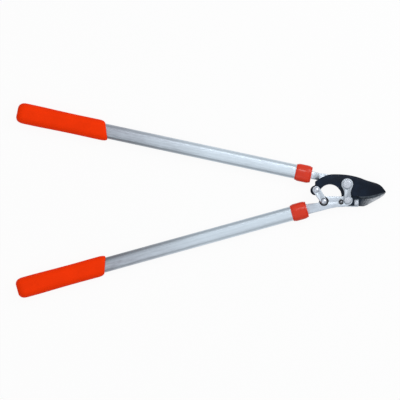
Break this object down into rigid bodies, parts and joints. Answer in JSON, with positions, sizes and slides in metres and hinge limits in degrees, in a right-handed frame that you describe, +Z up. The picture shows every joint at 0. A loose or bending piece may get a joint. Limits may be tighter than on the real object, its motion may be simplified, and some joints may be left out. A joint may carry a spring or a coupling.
{
  "type": "lopper",
  "caption": "Long-handled bypass lopper with a compound lever head, orange grips and collars, aluminium tubes, a black blade and hook, jaws closed.",
  "frame": {"origin": "on the main pivot's axis, at the flat lower end of its bolt, which is also the level of the floor that the lopper lies on", "axes": "+X from the pivot to the blade's tip, +Y from the pivot to the fixed (upper) handle's side, +Z up, along the pivots, towards the side the picture shows"},
  "size_m": [0.7957, 0.4179, 0.0348],
  "materials": {
    "grip_orange": "matte soft vinyl",
    "collar_orange": "gloss",
    "tube_aluminium": "satin",
    "plate_steel": "brushed",
    "blade_black": "non-stick coating with a bare ground bevel",
    "hook_black": "coated, worn to grey on the jaw",
    "zinc_steel": "zinc plated",
    "black_nylon": "matte",
    "black_rubber": "matte",
    "bush_bronze": "machined"
  },
  "bodies": {
    "hook_handle": {"upper_grip": "grip_orange", "upper_tube": "tube_aluminium", "upper_collar": "collar_orange", "upper_tang": "plate_steel", "upper_tang_pin": "zinc_steel", "hook_plate": "hook_black", "hook_rivet_front": "zinc_steel", "hook_rivet_rear": "zinc_steel", "side_plate": "plate_steel", "main_pivot_bolt": "zinc_steel", "main_washer": "zinc_steel", "main_nut": "zinc_steel", "lever_pivot_bolt": "zinc_steel", "lever_pivot_washer": "zinc_steel", "lever_pivot_nut": "zinc_steel", "hook_clamp": "plate_steel", "hook_screw": "zinc_steel", "hook_screw_washer": "zinc_steel", "hook_screw_nut": "zinc_steel"},
    "lever_handle": {"lower_grip": "grip_orange", "lower_tube": "tube_aluminium", "lower_collar": "collar_orange", "lower_tang": "plate_steel", "lower_tang_pin": "zinc_steel", "lever_bush": "bush_bronze", "lever_link_pin": "zinc_steel", "lever_link_spacer": "black_nylon", "lever_link_washer": "zinc_steel", "lever_link_rear_washer": "zinc_steel", "lever_link_nut": "zinc_steel", "lever_bumper": "black_rubber", "bumper_screw": "zinc_steel"},
    "blade": {"cutting_blade": "blade_black", "blade_bush": "bush_bronze", "blade_link_pin": "zinc_steel", "blade_link_spacer": "zinc_steel", "blade_link_rear_washer": "zinc_steel", "blade_link_nut": "zinc_steel"},
    "links": {"front_link": "plate_steel", "rear_link": "plate_steel"}
  },
  "joints": [
    {"name": "lever_swing", "type": "hinge", "parent": "hook_handle", "child": "lever_handle", "pos_m": [0.001, -0.0345, 0.0223], "axis": [0, 0, 1], "range_deg": [0, 60]},
    {"name": "blade_swing", "type": "hinge", "parent": "hook_handle", "child": "blade", "pos_m": [0, 0, 0.0223], "axis": [0, 0, 1], "range_deg": [0, 45]},
    {"name": "link_swing", "type": "hinge", "parent": "blade", "child": "links", "pos_m": [-0.0663, -0.0121, 0.0223], "axis": [0, 0, 1], "range_deg": [-48.5, 0]}
  ],
  "couplings": [
    {"joint": "blade_swing", "follows": "lever_swing", "ratio": 0.748},
    {"joint": "link_swing", "follows": "lever_swing", "ratio": -0.808}
  ]
}
